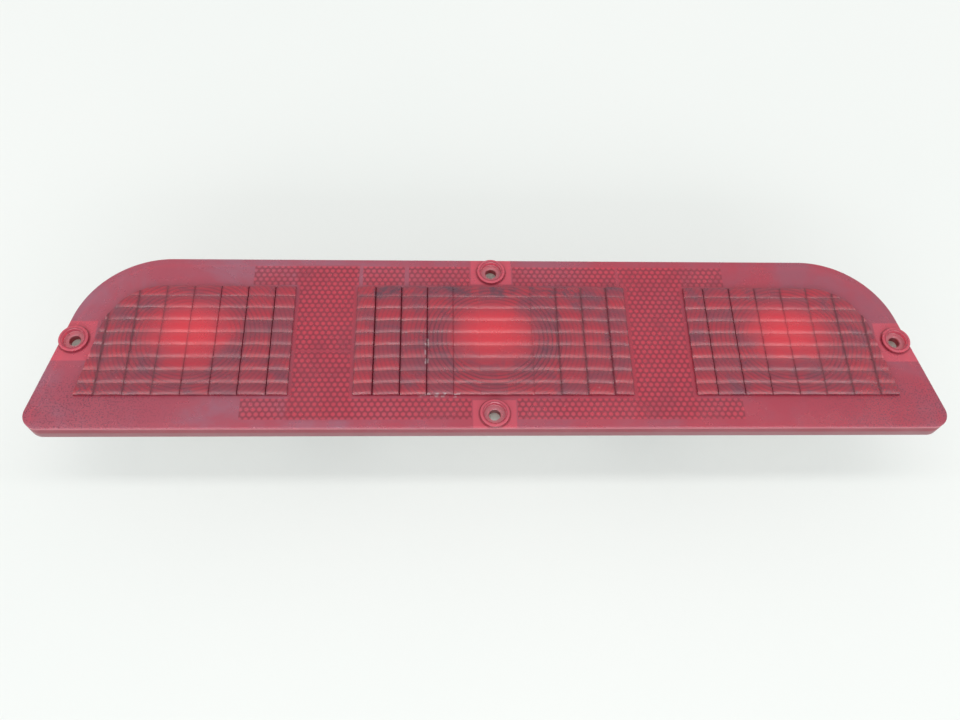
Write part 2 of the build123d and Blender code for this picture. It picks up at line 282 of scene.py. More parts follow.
def boolean(a, b, op, keep=False):
    """a becomes a (union, difference, intersect) b, and b goes."""
    md = a.modifiers.new("b", "BOOLEAN")
    md.object = b
    md.operation = op
    md.solver = "MANIFOLD"
    bpy.context.view_layer.update()
    dg = bpy.context.evaluated_depsgraph_get()
    me = bpy.data.meshes.new_from_object(a.evaluated_get(dg))
    a.modifiers.clear()
    old = a.data
    a.data = me
    bpy.data.meshes.remove(old)
    if not keep:
        drop(b)
    return a


def stack(name, loops, side=0):
    """Closed solid through loops of (points2d, z), all with the same number of points, capped at both ends."""
    n = len(loops[0][0])
    verts, faces = [], []
    for pts, z in loops:
        zz = z if hasattr(z, "__len__") else [z] * n
        verts += [(p[0], p[1], h) for p, h in zip(pts, zz)]
    for k in range(len(loops) - 1):
        for i in range(n):
            j = (i + 1) % n
            faces.append((k * n + i, k * n + j, (k + 1) * n + j, (k + 1) * n + i))
    slots = [side] * len(faces) + [0, 0]
    faces.append(tuple(reversed(range(n))))
    faces.append(tuple(range((len(loops) - 1) * n, len(loops) * n)))
    o = make_obj(name, verts, faces, slots)
    fix_normals(o)
    return o


def block(name, x0, x1, y0, y1, z0, z1):
    return stack(name, [([(x0, y0), (x1, y0), (x1, y1), (x0, y1)], z0), ([(x0, y0), (x1, y0), (x1, y1), (x0, y1)], z1)])


def lathe(name, cx, cy, profile, n=64, slot=None):
    """Closed solid of revolution about a vertical axis; profile is (r, z) from the axis round to the axis, or a closed ring."""
    verts, faces = [], []
    closed = profile[0][0] > 1e-9
    rows = []
    for r, z in profile:
        if r < 1e-9:
            rows.append([len(verts)] * n)
            verts.append((cx, cy, z))
        else:
            rows.append(list(range(len(verts), len(verts) + n)))
            verts += [(cx + r * math.cos(2 * math.pi * i / n), cy + r * math.sin(2 * math.pi * i / n), z) for i in range(n)]
    m = len(rows)
    slots = []
    for k in range(m if closed else m - 1):
        a, b = rows[k], rows[(k + 1) % m]
        s = slot(profile[k], profile[(k + 1) % m]) if slot else 0
        for i in range(n):
            j = (i + 1) % n
            f = [a[i], a[j], b[j], b[i]]
            f = [v for q, v in enumerate(f) if v not in f[:q]]
            if len(f) >= 3:
                faces.append(f)
                slots.append(s)
    o = make_obj(name, verts, faces, slots)
    fix_normals(o)
    return o


# ------------------------------------------------------------------ lens
Y_TOP, Y_BOT, SIDE_X0, SLOPE, R_TOP, R_BOT = 40.2, -39.8, 177.9, 0.256, 39.0, 6.4
SKIRT, PLATE, WIN_UP = 2.6, 2.8, 0.8
BOSS_X, BOSS_Y = 172.4, 33.8
WIN_Y, WIN_CX, WIN_IN, WIN_OUT = 25.7, 57.3, 83.5, 168.0
OPTIC_Y = 1.0
STATIONS = {"left": -125.6, "centre": 0.0, "right": 125.6}
BOSSES = [(-BOSS_X, 0.0), (BOSS_X, 0.0), (0.0, BOSS_Y), (0.0, -BOSS_Y)]


def outline(inset=0.0, na=32, nb=16):
    """Lens outline, counter-clockwise from above, moved inwards by inset. Always the same number of points."""
    t = math.atan(SLOPE)
    yt, yb = Y_TOP - inset, Y_BOT + inset
    x0 = SIDE_X0 - inset / math.cos(t)
    xt, xb = x0 - SLOPE * yt, x0 - SLOPE * yb
    rt, rb = R_TOP - inset, max(R_BOT - inset, 0.8)
    tt, tb = rt * math.tan((math.pi / 2 - t) / 2), rb * math.tan((math.pi / 2 + t) / 2)
    ct, cb = (xt - tt, yt - rt), (xb - tb, yb + rb)
    right = []
    for i in range(nb + 1):
        a = -math.pi / 2 + (t + math.pi / 2) * i / nb
        right.append((cb[0] + rb * math.cos(a), cb[1] + rb * math.sin(a)))
    for i in range(na + 1):
        a = t + (math.pi / 2 - t) * i / na
        right.append((ct[0] + rt * math.cos(a), ct[1] + rt * math.sin(a)))
    return right + [(-x, y) for x, y in reversed(right)]


def side_contour(grow=0.0, n=14):
    """Right-hand window outline, counter-clockwise."""
    g = grow
    a, m, e = (162.4 + g, 4.5 + g * 0.2), (155.4 + g * 0.75, 18.4 + g * 0.7), (139.5, WIN_Y + g)
    # circle through the three points
    (ax, ay), (bx, by), (cx, cy) = a, m, e
    d = 2 * (ax * (by - cy) + bx * (cy - ay) + cx * (ay - by))
    ux = ((ax * ax + ay * ay) * (by - cy) + (bx * bx + by * by) * (cy - ay) + (cx * cx + cy * cy) * (ay - by)) / d
    uy = ((ax * ax + ay * ay) * (cx - bx) + (bx * bx + by * by) * (ax - cx) + (cx * cx + cy * cy) * (bx - ax)) / d
    r = math.hypot(ax - ux, ay - uy)
    a0, a1 = math.atan2(ay - uy, ax - ux), math.atan2(cy - uy, cx - ux)
    arc = [(ux + r * math.cos(a0 + (a1 - a0) * i / n), uy + r * math.sin(a0 + (a1 - a0) * i / n)) for i in range(n + 1)]
    return [(WIN_IN - g, -WIN_Y - g), (WIN_OUT + g * 1.2, -WIN_Y - g)] + arc + [(WIN_IN - g, WIN_Y + g)]


def centre_contour(grow=0.0):
    x, y = WIN_CX + grow, WIN_Y + grow
    return [(-x, -y), (x, -y), (x, y), (-x, y)]


ROW_EDGES = [-25.7, -20.8, -14.86, -8.92, -2.97, 2.97, 8.92, 14.86, 20.8, 25.7]
COL_C = [-57.3, -49.5, -38.5, -27.5, -16.5, -5.5, 5.5, 16.5, 27.5, 38.5, 49.5, 57.3]
COL_S = [83.5, 92.0, 103.4, 114.7, 126.1, 137.4, 148.7, 160.0, 171.3]


def groove_depth(x, cx):
    """The column grooves are shallow near the middle of an optic and deep away from it."""
    f = min(1.0, max(0.0, (abs(x - cx) - 12.0) / 14.0))
    return f if cx == 0.0 else 0.75 + 0.25 * f


def tile_grid(cols, rows, centre_x, z0, nx=8, ny=7):
    """Closed slab whose top is a grid of pillow tiles, stepped away from centre_x, with fine grooves between columns."""
    def lines(edges, n, g):
        out = []
        for a, b in zip(edges[:-1], edges[1:]):
            ts = [0.0, g / (b - a)] + [i / n for i in range(1, n)] + [1 - g / (b - a)]
            out += [a + (b - a) * t for t in ts]
        return out + [edges[-1]]

    GX, GY = 0.27, 0.12
    xs, ys = lines(cols, nx, GX), lines(rows, ny, GY)
    top = np.zeros((len(xs), len(ys)))

    def cell(v, edges):
        k = int(np.clip(np.searchsorted(edges, v + 1e-6) - 1, 0, len(edges) - 2))
        return k, edges[k], edges[k + 1]

    for i, x in enumerate(xs):
        kx, xa, xb = cell(x, cols)
        wx, mx = xb - xa, (xa + xb) / 2
        full = 11.3
        u = (x - mx) / full * 2
        step = 0.10 * (mx - centre_x) / full
        dx = min(x - xa, xb - x)
        edge_x = x in (xs[0], xs[-1])
        for j, y in enumerate(ys):
            ky, ya, yb = cell(y, rows)
            my = (ya + yb) / 2
            v = (y - my) / 5.94 * 2
            far = min(1.0, math.hypot(mx - centre_x, (my - OPTIC_Y)) / 30.0)
            h = 0.43 * (1 - v * v) + (0.12 + 0.20 * far) * (1 - u * u)
            h -= step * u * 0.9
            if dx < 1e-4 and not edge_x:
                h -= (0.17 + 0.14 * far) * groove_depth(x, centre_x)
            top[i, j] = max(h, -0.5)
    verts, faces = [], []
    nx_, ny_ = len(xs), len(ys)
    for i in range(nx_):
        for j in range(ny_):
            verts.append((xs[i], ys[j], z0 + top[i, j]))
    off = len(verts)
    for i in range(nx_):
        for j in range(ny_):
            verts.append((xs[i], ys[j], Z_FACE - 1.0))

    def q(i, j):
        return i * ny_ + j

    slots = []
    for i in range(nx_ - 1):
        for j in range(ny_ - 1):
            groove = xs[i + 1] - xs[i] < GX + 0.01 or ys[j + 1] - ys[j] < GY + 0.01
            faces.append((q(i, j), q(i + 1, j), q(i + 1, j + 1), q(i, j + 1)))
            faces.append((off + q(i, j), off + q(i, j + 1), off + q(i + 1, j + 1), off + q(i + 1, j)))
            slots += [1 if groove else 0, 0]
    for i in range(nx_ - 1):
        faces.append((q(i, 0), off + q(i, 0), off + q(i + 1, 0), q(i + 1, 0)))
        faces.append((q(i, ny_ - 1), q(i + 1, ny_ - 1), off + q(i + 1, ny_ - 1), off + q(i, ny_ - 1)))
    for j in range(ny_ - 1):
        faces.append((q(0, j), q(0, j + 1), off + q(0, j + 1), off + q(0, j)))
        faces.append((q(nx_ - 1, j), off + q(nx_ - 1, j), off + q(nx_ - 1, j + 1), q(nx_ - 1, j + 1)))
    slots += [1] * (len(faces) - len(slots))
    o = make_obj("tiles", verts, faces, slots)
    fix_normals(o)
    return o


def bullseye(name, cx, r_max, z_under, pitch=1.9, r_in=17.5, n=168):
    """Rear optic: a shallow convex centre, then ring prisms. Closed; its top stands 0.3 inside the plate."""
    prof = [(0.0, z_under + 0.3), (r_max, z_under + 0.3)]
    rings = []
    k = int((r_max - r_in) / pitch)
    r = r_in + k * pitch
    prof.append((r_max, z_under - 0.12))
    while k >= 0:
        rr = r_in + k * pitch
        amp = 0.30 + 0.25 * min(1.0, k / 10.0)
        # saw profile: steep side faces the axis
        prof.append((rr + 0.28 * pitch, z_under - 0.12 - amp))
        prof.append((rr, z_under - 0.12))
        k -= 1
    for i in range(1, 9):
        t = r_in * (1 - i / 8)
        prof.append((max(t, 0.0), z_under - 0.12 - 0.9 * (1 - (t / r_in) ** 2)))
    return lathe(name, cx, OPTIC_Y, prof, n, lambda a, b: 2 if a[0] - b[0] > 0.5 * pitch and a[1] > b[1] + 0.05 else 0)


def hex_slab(x0, x1, y0, y1, z_under, pitch=2.54, depth=0.62, gap=0.24):
    """Closed slab with six-sided prisms hanging from its underside in a honeycomb, rows along X, a groove round each."""
    rad = pitch / math.sqrt(3)
    ry = rad * 1.5
    key, verts, faces, slots = {}, [], [], []

    def vert(x, y, z):
        k = (round(x, 3), round(y, 3), round(z, 3))
        if k not in key:
            key[k] = len(verts)
            verts.append((x, y, z))
        return key[k]

    rows = int(math.ceil((y1 - y0) / ry)) + 2
    cols = int(math.ceil((x1 - x0) / pitch)) + 2
    xs0, ys0 = math.floor(x0 / pitch) * pitch - pitch, math.floor(y0 / ry) * ry - ry
    for j in range(rows + 1):
        row_index = round((ys0 + j * ry) / ry)
        for i in range(cols + 1):
            cx = xs0 + i * pitch + (pitch / 2 if row_index % 2 else 0.0)
            cy = ys0 + j * ry
            rings = []
            for f, dz in ((1.0, 0.0), (1.0 - gap, 0.18), (0.42, depth)):
                rings.append([vert(cx + f * rad * math.cos(math.radians(90 + 60 * k)), cy + f * rad * math.sin(math.radians(90 + 60 * k)), z_under - dz) for k in range(6)])
            c = vert(cx, cy, z_under - depth - 0.10)
            for k in range(6):
                m = (k + 1) % 6
                faces.append((rings[0][k], rings[0][m], rings[1][m], rings[1][k]))
                faces.append((rings[1][k], rings[1][m], rings[2][m], rings[2][k]))
                faces.append((rings[2][k], rings[2][m], c))
                slots += [3, 0, 0]
    edges = {}
    for f in faces:
        for a, b in zip(f, f[1:] + f[:1]):
            e = (a, b) if a < b else (b, a)
            edges.setdefault(e, []).append((a, b))
    off = len(verts)
    verts = verts + [(x, y, z_under + 0.3) for x, y, z in verts]
    lid = [tuple(off + v for v in reversed(f)) for f in faces]
    walls = [(b, a, off + a, off + b) for e, uses in edges.items() if len(uses) == 1 for a, b in uses]
    o = make_obj("hexes", verts, faces + lid + walls, slots + [0] * (len(lid) + len(walls)))
    fix_normals(o)
    return o


def closed_volume(o):
    bm = bmesh.new()
    bm.from_mesh(o.data)
    bad = sum(1 for e in bm.edges if not e.is_manifold)
    v = bm.calc_volume()
    n = len(bm.faces)
    bm.free()
    return bad, round(v, 1), n


def report(tag, o):
    bad, v, n = closed_volume(o)
    print(f"MESH {tag}: open edges {bad}, volume {v}, faces {n}")


def make_lens():
    zf, zr = Z_FACE, Z_RIM
    under = zf - PLATE
    # body with a rounded front edge and a small chamfer at the rim
    R = 0.5
    loops = [(outline(0.25), zr), (outline(0.0), zr + 0.3), (outline(0.0), zf - R)]
    for i in range(1, 7):
        a = math.pi / 2 * i / 6
        loops.append((outline(R * (1 - math.cos(a))), zf - R + R * math.sin(a)))
    body = stack("lens_body", loops)
    cav = stack("cav", [(outline(SKIRT - 0.25), zr - 1.0), (outline(SKIRT - 0.15), zr), (outline(SKIRT), under - 0.6), (outline(SKIRT + 0.18), under - 0.18), (outline(SKIRT + 0.6), under)])
    zb = zf - 4.4
    for x0, x1, y0, y1 in ((-9.0, 9.0, BOSS_Y - 6.3, 60), (-9.0, 9.0, -60, -BOSS_Y + 6.3), (164.0, 200, -10.0, 9.0), (-200, -164.0, -10.0, 9.0)):
        boolean(cav, block("blk", x0, x1, y0, y1, zb, zf + 5), "DIFFERENCE")
    boolean(body, cav, "DIFFERENCE")
    report("body", body)

    # windows
    centre = tile_grid(COL_C, ROW_EDGES, 0.0, zf + WIN_UP)
    right = tile_grid(COL_S, ROW_EDGES, STATIONS["right"], zf + WIN_UP)
    clip = stack("clip", [(side_contour(0.0), zf - 3), (side_contour(0.0), zf + 4)], side=1)
    boolean(right, clip, "INTERSECT")
    left = make_obj("left", [(-v.co.x, v.co.y, v.co.z) for v in right.data.vertices], [tuple(reversed(p.vertices)) for p in right.data.polygons], [p.material_index for p in right.data.polygons])
    fix_normals(left)
    for w in (centre, right, left):
        boolean(body, w, "UNION")
    report("windows", body)

    # rear ring optics, inside the window outlines
    for name, cx in STATIONS.items():
        optic = bullseye("optic", cx, 66.0 if name == "centre" else 54.0, under)
        if name == "centre":
            c = centre_contour(0.4)
        else:
            c = side_contour(0.4)
            if name == "left":
                c = [(-x, y) for x, y in reversed(c)]
        boolean(optic, stack("clip", [(c, under - 4), (c, under + 2)]), "INTERSECT")
        boolean(body, optic, "UNION")
    report("optics", body)

    # reflex prism fields
    hexes = hex_slab(-104.0, 104.0, -38.5, 38.5, under)
    report("hex slab", hexes)
    fields = [
        (58.9, 82.0, -36.2, 36.6), (-82.0, -58.9, -4.9, 36.6), (-82.0, -58.9, -36.2, -5.7),
        (9.3, 54.6, 27.0, 36.6), (55.8, 59.2, 27.0, 36.6), (81.7, 102.0, 27.0, 36.6),
        (-35.6, -9.3, 27.0, 36.6), (-55.4, -37.4, 27.0, 36.6), (-59.2, -57.0, 27.0, 36.6), (-102.0, -81.7, 27.0, 36.6),
        (9.3, 59.2, -36.2, -27.0), (81.7, 102.6, -36.2, -27.0), (-59.2, -9.3, -36.2, -27.0), (-102.6, -81.7, -36.2, -27.0),
    ]
    mask = None
    for x0, x1, y0, y1 in fields:
        b = block("mask", x0, x1, y0, y1, under - 5, under + 3)
        mask = b if mask is None else boolean(mask, b, "UNION")
    boolean(hexes, mask, "INTERSECT")
    report("hex fields", hexes)
    boolean(body, hexes, "UNION")
    report("with hexes", body)

    # screw bosses, counterbores and holes
    for x, y in BOSSES:
        ring = [(0.0, zf - 2.6), (5.2, zf - 2.6), (6.0, zf - 1.4), (6.05, zf + 0.75)]
        for i in range(1, 6):
            a = math.pi / 2 * i / 5
            ring.append((6.05 - 0.5 * (1 - math.cos(a)), zf + 0.8 + 0.5 * math.sin(a)))
        ring.append((0.0, zf + 1.3))
        boolean(body, lathe("boss", x, y, ring, 72, lambda a, b: 1 if min(a[0], b[0]) > 5.9 and max(a[1], b[1]) < zf + 0.8 else 0), "UNION")
    for x, y in BOSSES:
        hole = [(0.0, zr - 1), (3.6, zr - 1), (3.6, zb), (2.65, zb), (2.4, zb + 0.25), (2.4, zf - 1.15), (2.65, zf - 0.9), (4.25, zf - 0.9), (4.4, zf - 0.75), (4.4, zf + 0.95), (4.75, zf + 1.3), (4.75, zf + 3), (0.0, zf + 3)]
        boolean(body, lathe("hole", x, y, hole, 56, lambda a, b: 0), "DIFFERENCE")
    report("lens", body)

    bm = bmesh.new()
    bm.from_mesh(body.data)
    bmesh.ops.remove_doubles(bm, verts=bm.verts, dist=0.002)
    bmesh.ops.dissolve_degenerate(bm, dist=0.002, edges=bm.edges)
    bmesh.ops.recalc_face_normals(bm, faces=bm.faces)
    for v in bm.verts:
        v.co *= MM
    bm.to_mesh(body.data)
    bm.free()
    body.name = "lens_moulding"
    body.data.name = "lens_moulding"
    levels = [SOIL_LEVEL[p.material_index] for p in body.data.polygons]
    for k, p in enumerate(body.data.polygons):
        c = p.center / MM
        if p.material_index == 1 and c.z > zf + 0.05 and abs(c.y) < 25.6:
            cx = 0.0 if abs(c.x) < 70 else math.copysign(STATIONS["right"], c.x)
            inner = min(abs(c.x - cx), 40.0)
            if abs(abs(c.x) - 57.0) > 1.0 and abs(abs(c.x) - 83.5) > 1.0:
                levels[k] *= groove_depth(cx + inner, cx)
    print("SOIL", {v: levels.count(v) for v in set(levels)})
    dirt_and_shade = body.data.attributes.new("dirt_and_shade", "FLOAT", "FACE")
    dirt_and_shade.data.foreach_set("value", levels)
    # each pillow tile is painted a little lighter or darker than its neighbours at random: painted shade, standing for
    # the differing light each tile refracts
    cols = [-c for c in reversed(COL_S)] + COL_C + COL_S
    tones = []
    for p in body.data.polygons:
        c = p.center / MM
        v = 0.0
        if c.z > zf + 0.15 and abs(c.y) < 25.7 and (abs(c.x) < WIN_CX or abs(c.x) > WIN_IN):
            i, j = int(np.searchsorted(cols, c.x)), int(np.searchsorted(ROW_EDGES, c.y))
            v = (math.sin(i * 127.1 + j * 311.7) * 43758.5453) % 1.0
            v = v * v
        tones.append(v)
    tone = body.data.attributes.new("tone", "FLOAT", "FACE")
    tone.data.foreach_set("value", tones)
    for p in body.data.polygons:
        p.use_smooth = True
    body.data.set_sharp_from_angle(angle=math.radians(21))
    report("lens cleaned", body)
    return body


# ------------------------------------------------------------------ materials
def box_mask(nt, x, y, x0, x1, y0, y1, soft=0.0008):
    """1 inside a rectangle of the lens face (metres), with a soft edge."""
    a = math_node(nt, "MULTIPLY", smooth_range(nt, x, x0 - soft, x0 + soft), smooth_range(nt, x, x1 - soft, x1 + soft, 1.0, 0.0))
    b = math_node(nt, "MULTIPLY", smooth_range(nt, y, y0 - soft, y0 + soft), smooth_range(nt, y, y1 - soft, y1 + soft, 1.0, 0.0))
    return math_node(nt, "MULTIPLY", a, b)


def mat_lens():
    m, nt, b = new_mat("red_acrylic")
    vec = coords(nt)
    x, y, z = xyz(nt, vec)
    ax, ay = math_node(nt, "ABSOLUTE", x), math_node(nt, "ABSOLUTE", y)
    b.inputs["Transmission Weight"].default_value = 0.51
    b.inputs["IOR"].default_value = 1.49
    b.inputs["Specular IOR Level"].default_value = 0.5
    left = smooth_range(nt, x, -0.19, 0.12, 1.0, 0.0)

    # painted light: the clear middle of each optic is painted lighter, standing for the light gathered there
    painted_light_spot = None
    for cx in STATIONS.values():
        dx = math_node(nt, "MULTIPLY", math_node(nt, "SUBTRACT", x, cx * MM), 0.80)
        dy = math_node(nt, "SUBTRACT", y, 0.004)
        d = math_node(nt, "SQRT", math_node(nt, "ADD", math_node(nt, "MULTIPLY", dx, dx), math_node(nt, "MULTIPLY", dy, dy)))
        h = smooth_range(nt, d, 0.002, 0.020, 1.0, 0.0)
        painted_light_spot = h if painted_light_spot is None else math_node(nt, "MAXIMUM", painted_light_spot, h)
    in_win = math_node(nt, "MULTIPLY", smooth_range(nt, z, (Z_FACE + 0.05) * MM, (Z_FACE + 0.25) * MM), box_mask(nt, ax, y, -0.1, 0.1690, -0.0262, 0.0262, 0.0003))
    in_win = math_node(nt, "MULTIPLY", in_win, math_node(nt, "SUBTRACT", 1.0, box_mask(nt, ax, y, 0.0575, 0.0833, -0.03, 0.03, 0.0001)))

    # position moved a little by the slope of the surface, as the ribs behind each tile are seen displaced; the rings
    # are painted shade of the ring prisms behind, and a darker halo round each optic's middle is painted shade
    geo = nt.nodes.new("ShaderNodeNewGeometry")
    nx, ny, nz = xyz(nt, geo.outputs["Normal"])
    sx = math_node(nt, "MULTIPLY_ADD", nx, 0.0016, x)
    sy = math_node(nt, "MULTIPLY_ADD", ny, 0.0016, y)
    rings = None
    painted_shade_halo = None
    for cx in STATIONS.values():
        dx, dy = math_node(nt, "SUBTRACT", sx, cx * MM), math_node(nt, "SUBTRACT", sy, 0.0002)
        r_ = math_node(nt, "SQRT", math_node(nt, "ADD", math_node(nt, "MULTIPLY", dx, dx), math_node(nt, "MULTIPLY", dy, dy)))
        wave = math_node(nt, "SINE", math_node(nt, "MULTIPLY", r_, 2 * math.pi / 0.0019))
        wave = smooth_range(nt, wave, -0.1, 0.95)
        near = smooth_range(nt, r_, 0.0625 if cx == 0.0 else 0.0480, 0.064 if cx == 0.0 else 0.049, 1.0, 0.0)
        wave = math_node(nt, "MULTIPLY", math_node(nt, "MULTIPLY", wave, near), smooth_range(nt, r_, 0.012, 0.020))
        rings = wave if rings is None else math_node(nt, "MAXIMUM", rings, wave)
        hx = math_node(nt, "MULTIPLY", dx, 0.78)
        hr = math_node(nt, "SQRT", math_node(nt, "ADD", math_node(nt, "MULTIPLY", hx, hx), math_node(nt, "MULTIPLY", dy, dy)))
        ring = math_node(nt, "MULTIPLY", smooth_range(nt, hr, 0.0105, 0.0160), smooth_range(nt, hr, 0.0180, 0.0300, 1.0, 0.0))
        if cx != 0.0:
            ring = math_node(nt, "MULTIPLY", ring, 0.45)
        painted_shade_halo = ring if painted_shade_halo is None else math_node(nt, "MAXIMUM", painted_shade_halo, ring)
    # shade beside the tile steps, and towards the top of each tile
    col_c = math_node(nt, "ABSOLUTE", math_node(nt, "WRAP", x, 0.0, 0.0110))
    col_c = math_node(nt, "ABSOLUTE", math_node(nt, "SUBTRACT", col_c, 0.0055))
    col_s = math_node(nt, "ABSOLUTE", math_node(nt, "SUBTRACT", math_node(nt, "WRAP", math_node(nt, "SUBTRACT", ax, 0.0920 - 0.00567), 0.0, 0.01133), 0.00567))
    is_c = smooth_range(nt, ax, 0.0650, 0.0660, 1.0, 0.0)
    cd = nt.nodes.new("ShaderNodeMix")
    nt.links.new(is_c, cd.inputs[0]); nt.links.new(col_s, cd.inputs[2]); nt.links.new(col_c, cd.inputs[3])
    step_shade = smooth_range(nt, cd.outputs[0], 0.0001, 0.0014, 1.0, 0.0)
    deep_c = smooth_range(nt, ax, 0.012, 0.027)
    deep_s = smooth_range(nt, math_node(nt, "ABSOLUTE", math_node(nt, "SUBTRACT", ax, STATIONS["right"] * MM)), 0.010, 0.026, 0.75, 1.0)
    dp = nt.nodes.new("ShaderNodeMix")
    nt.links.new(is_c, dp.inputs[0]); nt.links.new(deep_s, dp.inputs[2]); nt.links.new(deep_c, dp.inputs[3])
    step_shade = math_node(nt, "MULTIPLY", step_shade, dp.outputs[0])
    row = math_node(nt, "WRAP", math_node(nt, "ADD", y, 0.002972), 0.0, 0.005943)
    row_shade = smooth_range(nt, row, 0.0022, 0.0058)

    # honeycomb of the reflex prisms, painted: painted light in the middle of each cell and painted shade along its
    # outline
    def cell(ox, oy):
        a = math_node(nt, "SUBTRACT", math_node(nt, "WRAP", math_node(nt, "ADD", x, 0.00127 + ox), 0.0, 0.00254), 0.00127)
        c = math_node(nt, "SUBTRACT", math_node(nt, "WRAP", math_node(nt, "ADD", y, 0.0022 + oy + 0.0009), 0.0, 0.0044), 0.0022)
        return math_node(nt, "SQRT", math_node(nt, "ADD", math_node(nt, "MULTIPLY", a, a), math_node(nt, "MULTIPLY", c, c)))
    hexd = math_node(nt, "MINIMUM", cell(0.0, 0.0), cell(0.00127, 0.0022))
    dot = smooth_range(nt, hexd, 0.0004, 0.00122, 1.0, 0.0)
    reflex = box_mask(nt, ax, y, 0.0589, 0.0820, -0.0362, 0.0366, 0.0002)
    for x0, x1, y0, y1 in ((0.0093, 0.102, 0.0270, 0.0366), (0.0093, 0.102, -0.0362, -0.0270)):
        reflex = math_node(nt, "MAXIMUM", reflex, box_mask(nt, ax, y, x0, x1, y0, y1, 0.0002))
    for x0, x1, y0, y1 in ((-0.0822, -0.0587, -0.0057, -0.0049), (0.0546, 0.0558, 0.0268, 0.037), (-0.0374, -0.0356, 0.0268, 0.037), (-0.0570, -0.0554, 0.0268, 0.037)):
        reflex = math_node(nt, "MULTIPLY", reflex, math_node(nt, "SUBTRACT", 1.0, box_mask(nt, x, y, x0, x1, y0, y1, 0.0001)))
    reflex = math_node(nt, "MULTIPLY", reflex, math_node(nt, "SUBTRACT", 1.0, in_win))

    # film of dust and age, partly a painted sheen: a grey-pink veil, heavier towards the left
    big = smooth_range(nt, noise(nt, vec, 26.0, 5.0, 0.62, 0.4), 0.40, 0.68)
    mid = smooth_range(nt, noise(nt, coords(nt, (1, 1, 1), (3.1, 1.7, 0)), 75.0, 5.0, 0.65, 0.8), 0.44, 0.70)
    band = math_node(nt, "SUBTRACT", 1.0, math_node(nt, "MAXIMUM", in_win, box_mask(nt, ax, y, 0.0575, 0.0835, -0.0362, 0.0366, 0.0015)))
    tone = nt.nodes.new("ShaderNodeAttribute")
    tone.attribute_name = "tone"
    col = mix_color(nt, math_node(nt, "MULTIPLY", big, 0.6), (0.64, 0.062, 0.11), (0.42, 0.085, 0.14))
    win = mix_color(nt, mid, (0.68, 0.052, 0.09), (0.36, 0.072, 0.12))
    # painted shade: random per-tile darkening of the window tiles
    win = mix_color(nt, math_node(nt, "MULTIPLY", tone.outputs["Fac"], 0.55), win, (0.26, 0.085, 0.135))
    # painted shade: darker stripes of the rear ring prisms, and a darker halo round each optic's middle
    win = mix_color(nt, math_node(nt, "MULTIPLY", rings, 0.34), win, (0.20, 0.05, 0.085))
    win = mix_color(nt, math_node(nt, "MULTIPLY", painted_shade_halo, math_node(nt, "MULTIPLY_ADD", rings, 0.42, 0.16)), win, (0.17, 0.045, 0.08))
    win = mix_color(nt, math_node(nt, "MULTIPLY", row_shade, 0.26), win, (0.22, 0.045, 0.085))
    win = mix_color(nt, math_node(nt, "MULTIPLY", step_shade, 0.55), win, (0.22, 0.025, 0.055))
    col = mix_color(nt, in_win, col, win)
    # dust and painted sheen: grey-pink veil over the plate outside the windows, heavier on the left
    dust_and_sheen = math_node(nt, "MULTIPLY", band, math_node(nt, "MULTIPLY_ADD", left, 0.50, 0.30))
    dust_and_sheen = math_node(nt, "MULTIPLY", dust_and_sheen, math_node(nt, "MULTIPLY_ADD", big, 0.65, 0.35))
    col = mix_color(nt, dust_and_sheen, col, (0.52, 0.24, 0.345))
    # painted shade on the cell outlines, then painted light in the cell middles
    col = mix_color(nt, math_node(nt, "MULTIPLY", math_node(nt, "MULTIPLY", reflex, 0.80), math_node(nt, "SUBTRACT", 1.0, dot)), col, (0.36, 0.045, 0.08))
    col = mix_color(nt, math_node(nt, "MULTIPLY", math_node(nt, "MULTIPLY", reflex, dot), math_node(nt, "MULTIPLY_ADD", mid, -0.55, 0.62)), col, (1.0, 0.085, 0.14))
    # painted light spots: the middle of each optic painted a lighter red
    painted_light_spot = math_node(nt, "MULTIPLY", painted_light_spot, in_win)
    col = mix_color(nt, math_node(nt, "MULTIPLY", painted_light_spot, math_node(nt, "MULTIPLY_ADD", step_shade, -0.25, 1.0)), col, (1.0, 0.065, 0.10))

    # painted light: the clear solid blocks round the bosses are painted lighter, standing for the light that comes
    # through them
    blk = math_node(nt, "MAXIMUM", box_mask(nt, ax, ay, -0.1, 0.0088, 0.0277, 0.05, 0.0003), box_mask(nt, ax, y, 0.1642, 0.2, -0.0098, 0.0088, 0.0003))
    col = mix_color(nt, math_node(nt, "MULTIPLY", blk, 0.85), col, (0.92, 0.13, 0.20))

    # dark smudges along the top of the middle window and stipple in the lower corners
    smear = math_node(nt, "MULTIPLY", box_mask(nt, ax, y, -0.1, 0.057, 0.0205, 0.0268, 0.0015), smooth_range(nt, noise(nt, coords(nt, (0.6, 1.0, 1.0)), 150.0, 5.0, 0.7, 0.6), 0.46, 0.62))
    col = mix_color(nt, math_node(nt, "MULTIPLY", smear, 0.75), col, (0.13, 0.07, 0.11))
    dots = smooth_range(nt, noise(nt, vec, 1500.0, 2.0, 0.5), 0.52, 0.60)
    corner = math_node(nt, "MULTIPLY", smooth_range(nt, ax, 0.110, 0.165), smooth_range(nt, y, -0.024, -0.012, 1.0, 0.0))
    col = mix_color(nt, math_node(nt, "MULTIPLY", math_node(nt, "MULTIPLY", dots, corner), 0.75), col, (0.26, 0.07, 0.12))
    specks = smooth_range(nt, noise(nt, vec, 420.0, 3.0, 0.7), 0.68, 0.76)
    col = mix_color(nt, math_node(nt, "MULTIPLY", specks, 0.22), col, (0.95, 0.55, 0.62))

    chips = math_node(nt, "MAXIMUM", box_mask(nt, x, y, -0.0310, -0.0120, -0.0264, -0.0250, 0.0003), box_mask(nt, x, y, -0.0284, -0.0268, -0.0120, 0.0010, 0.0003))
    chips = math_node(nt, "MULTIPLY", chips, smooth_range(nt, noise(nt, vec, 330.0, 4.0, 0.7), 0.50, 0.58))
    col = mix_color(nt, math_node(nt, "MULTIPLY", chips, 0.6), col, (0.75, 0.62, 0.66))
